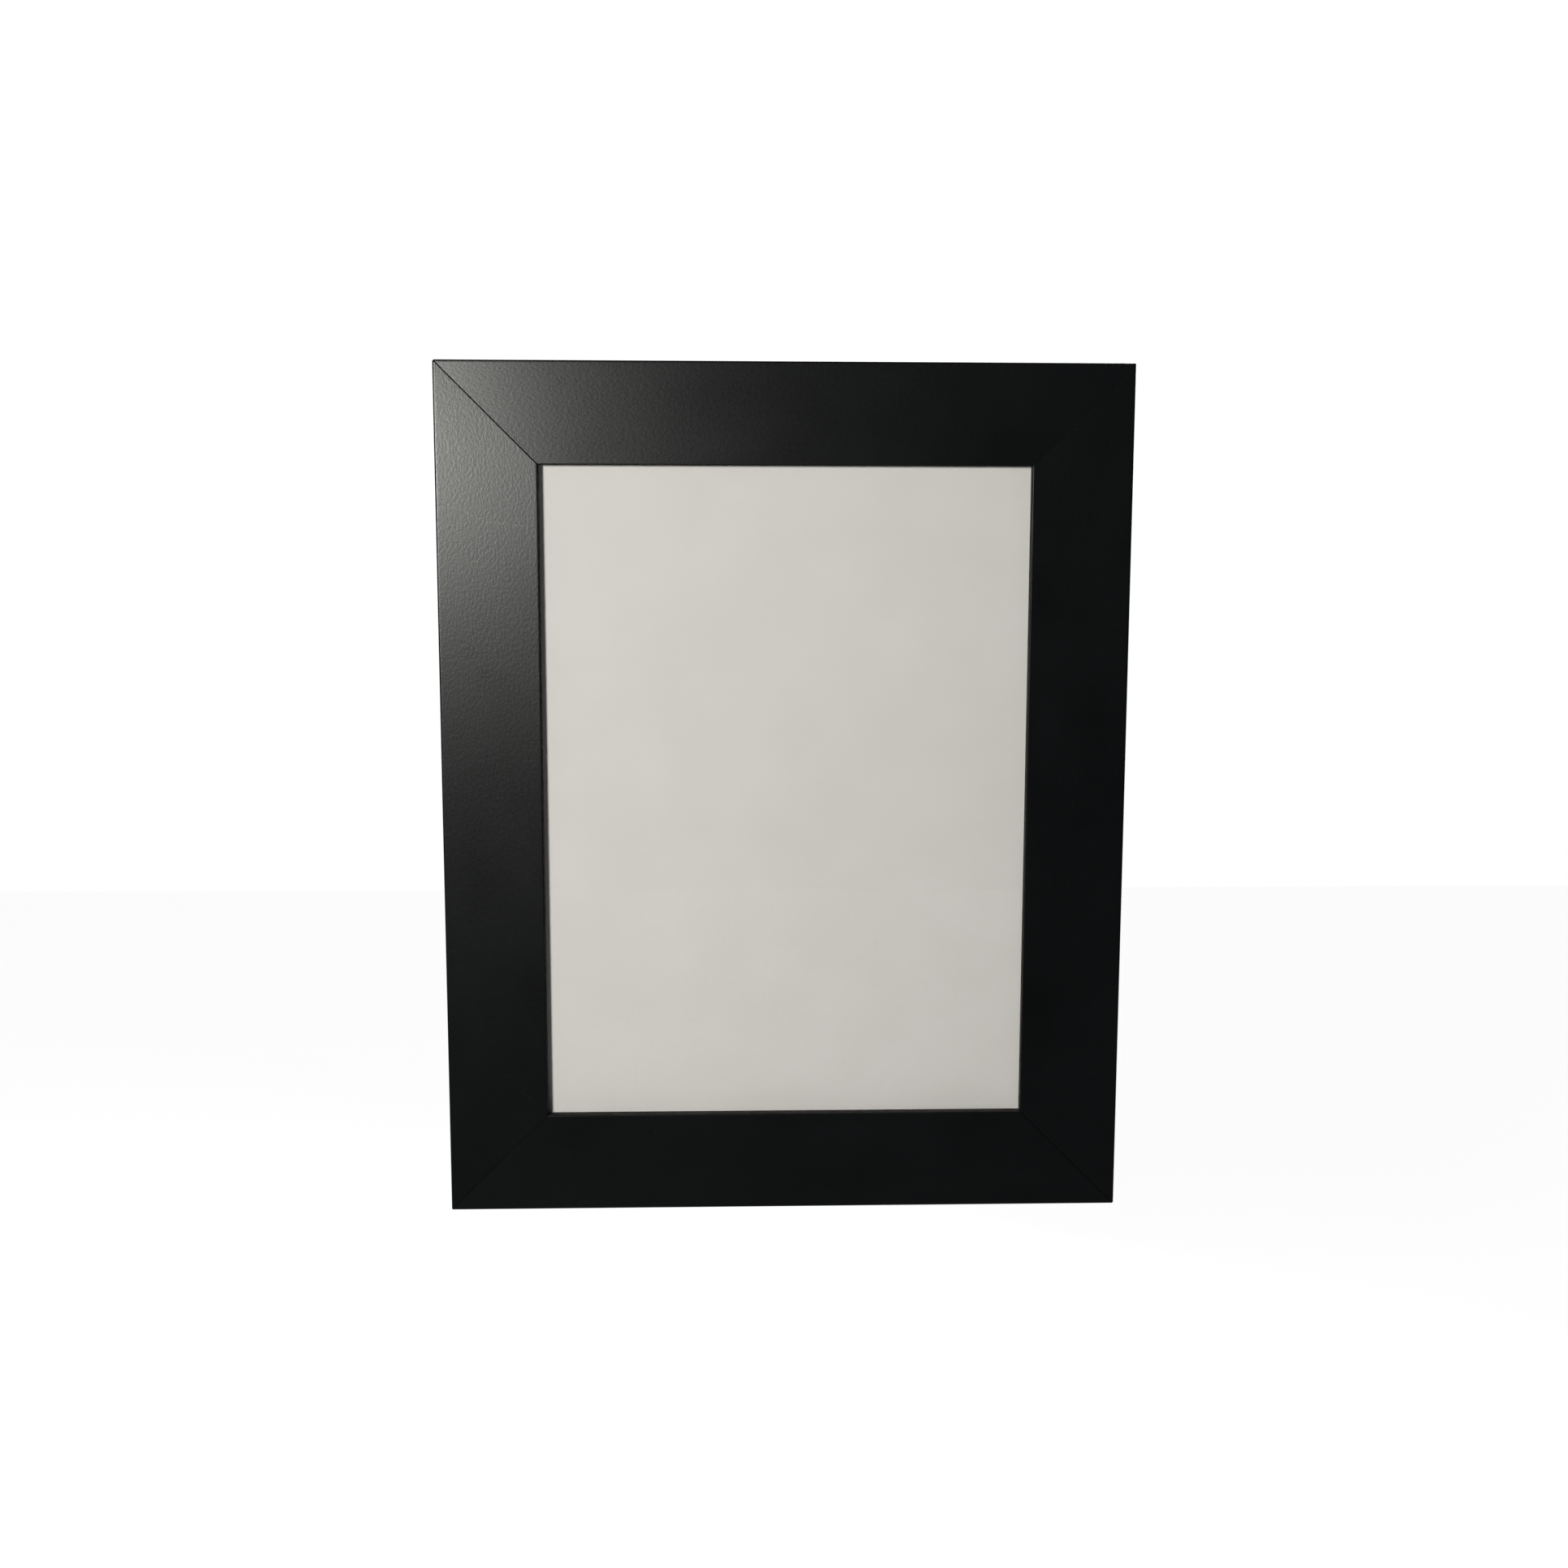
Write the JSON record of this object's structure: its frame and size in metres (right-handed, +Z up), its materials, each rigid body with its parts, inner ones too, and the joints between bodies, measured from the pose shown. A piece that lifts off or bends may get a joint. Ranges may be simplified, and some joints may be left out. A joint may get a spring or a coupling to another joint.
{
  "type": "picture frame",
  "caption": "Portrait wooden picture frame with wide flat mitred matt-black rails, glass, a blank off-white sheet, a board held by turn buttons, and hanging rings.",
  "frame": {"origin": "on the wall plane, midway between the two hanger rings and 172 mm below the frame's top edge", "axes": "+X to the viewer's right, +Y from the room into the wall, +Z up, so the front of the frame faces -Y"},
  "size_m": [0.412, 0.0185, 0.5146],
  "materials": {
    "black_foil": "matt black with a very fine grain",
    "clear_glass": "clear float glass",
    "white_card": "matt off-white card",
    "board": "brown fibreboard, smooth at the front and rough at the back",
    "nail_steel": "plain steel",
    "zinc_plate": "zinc plated",
    "brass_plate": "brass plated",
    "pad_rubber": "matt dark grey rubber"
  },
  "bodies": {
    "frame": {"rail_top": "black_foil", "rail_bottom": "black_foil", "rail_left": "black_foil", "rail_right": "black_foil", "glass_pane": "clear_glass", "blank_sheet": "white_card", "backing_board": "board", "corner_nail_top_left_outer": "nail_steel", "corner_nail_top_left_inner": "nail_steel", "corner_nail_top_right_outer": "nail_steel", "corner_nail_top_right_inner": "nail_steel", "corner_nail_bottom_left_outer": "nail_steel", "corner_nail_bottom_left_inner": "nail_steel", "corner_nail_bottom_right_outer": "nail_steel", "corner_nail_bottom_right_inner": "nail_steel", "button_screw_top_left": "zinc_plate", "button_screw_top_right": "zinc_plate", "button_screw_bottom_left": "zinc_plate", "button_screw_bottom_right": "zinc_plate", "button_screw_left_upper": "zinc_plate", "button_screw_left_lower": "zinc_plate", "button_screw_right_upper": "zinc_plate", "button_screw_right_lower": "zinc_plate", "hanger_strap_left": "brass_plate", "hanger_strap_right": "brass_plate", "hanger_screw_left_inner": "brass_plate", "hanger_screw_left_outer": "brass_plate", "hanger_screw_right_inner": "brass_plate", "hanger_screw_right_outer": "brass_plate", "wall_pad_top_left": "pad_rubber", "wall_pad_top_right": "pad_rubber", "wall_pad_bottom_left": "pad_rubber", "wall_pad_bottom_right": "pad_rubber"},
    "button_top_left": {"turn_button_top_left": "zinc_plate"},
    "button_top_right": {"turn_button_top_right": "zinc_plate"},
    "button_bottom_left": {"turn_button_bottom_left": "zinc_plate"},
    "button_bottom_right": {"turn_button_bottom_right": "zinc_plate"},
    "button_left_upper": {"turn_button_left_upper": "zinc_plate"},
    "button_left_lower": {"turn_button_left_lower": "zinc_plate"},
    "button_right_upper": {"turn_button_right_upper": "zinc_plate"},
    "button_right_lower": {"turn_button_right_lower": "zinc_plate"},
    "ring_left": {"hanger_ring_left": "brass_plate"},
    "ring_right": {"hanger_ring_right": "brass_plate"}
  },
  "joints": [
    {"name": "button_top_left_turn", "type": "hinge", "parent": "frame", "child": "button_top_left", "pos_m": [-0.075, -0.0038, 0.12815], "axis": [0, 1, 0], "continuous": true},
    {"name": "button_top_right_turn", "type": "hinge", "parent": "frame", "child": "button_top_right", "pos_m": [0.075, -0.0038, 0.12815], "axis": [0, 1, 0], "continuous": true},
    {"name": "button_bottom_left_turn", "type": "hinge", "parent": "frame", "child": "button_bottom_left", "pos_m": [-0.075, -0.0038, -0.29875], "axis": [0, 1, 0], "continuous": true},
    {"name": "button_bottom_right_turn", "type": "hinge", "parent": "frame", "child": "button_bottom_right", "pos_m": [0.075, -0.0038, -0.29875], "axis": [0, 1, 0], "continuous": true},
    {"name": "button_left_upper_turn", "type": "hinge", "parent": "frame", "child": "button_left_upper", "pos_m": [-0.16215, -0.0038, 0.0547], "axis": [0, 1, 0], "continuous": true},
    {"name": "button_left_lower_turn", "type": "hinge", "parent": "frame", "child": "button_left_lower", "pos_m": [-0.16215, -0.0038, -0.2253], "axis": [0, 1, 0], "continuous": true},
    {"name": "button_right_upper_turn", "type": "hinge", "parent": "frame", "child": "button_right_upper", "pos_m": [0.16215, -0.0038, 0.0547], "axis": [0, 1, 0], "continuous": true},
    {"name": "button_right_lower_turn", "type": "hinge", "parent": "frame", "child": "button_right_lower", "pos_m": [0.16215, -0.0038, -0.2253], "axis": [0, 1, 0], "continuous": true},
    {"name": "ring_left_swing", "type": "hinge", "parent": "frame", "child": "ring_left", "pos_m": [-0.15915, -0.0025, 0], "axis": [0, 0, 1], "range_deg": [-4, 175]},
    {"name": "ring_right_swing", "type": "hinge", "parent": "frame", "child": "ring_right", "pos_m": [0.15915, -0.0025, 0], "axis": [0, 0, -1], "range_deg": [-4, 175]}
  ]
}
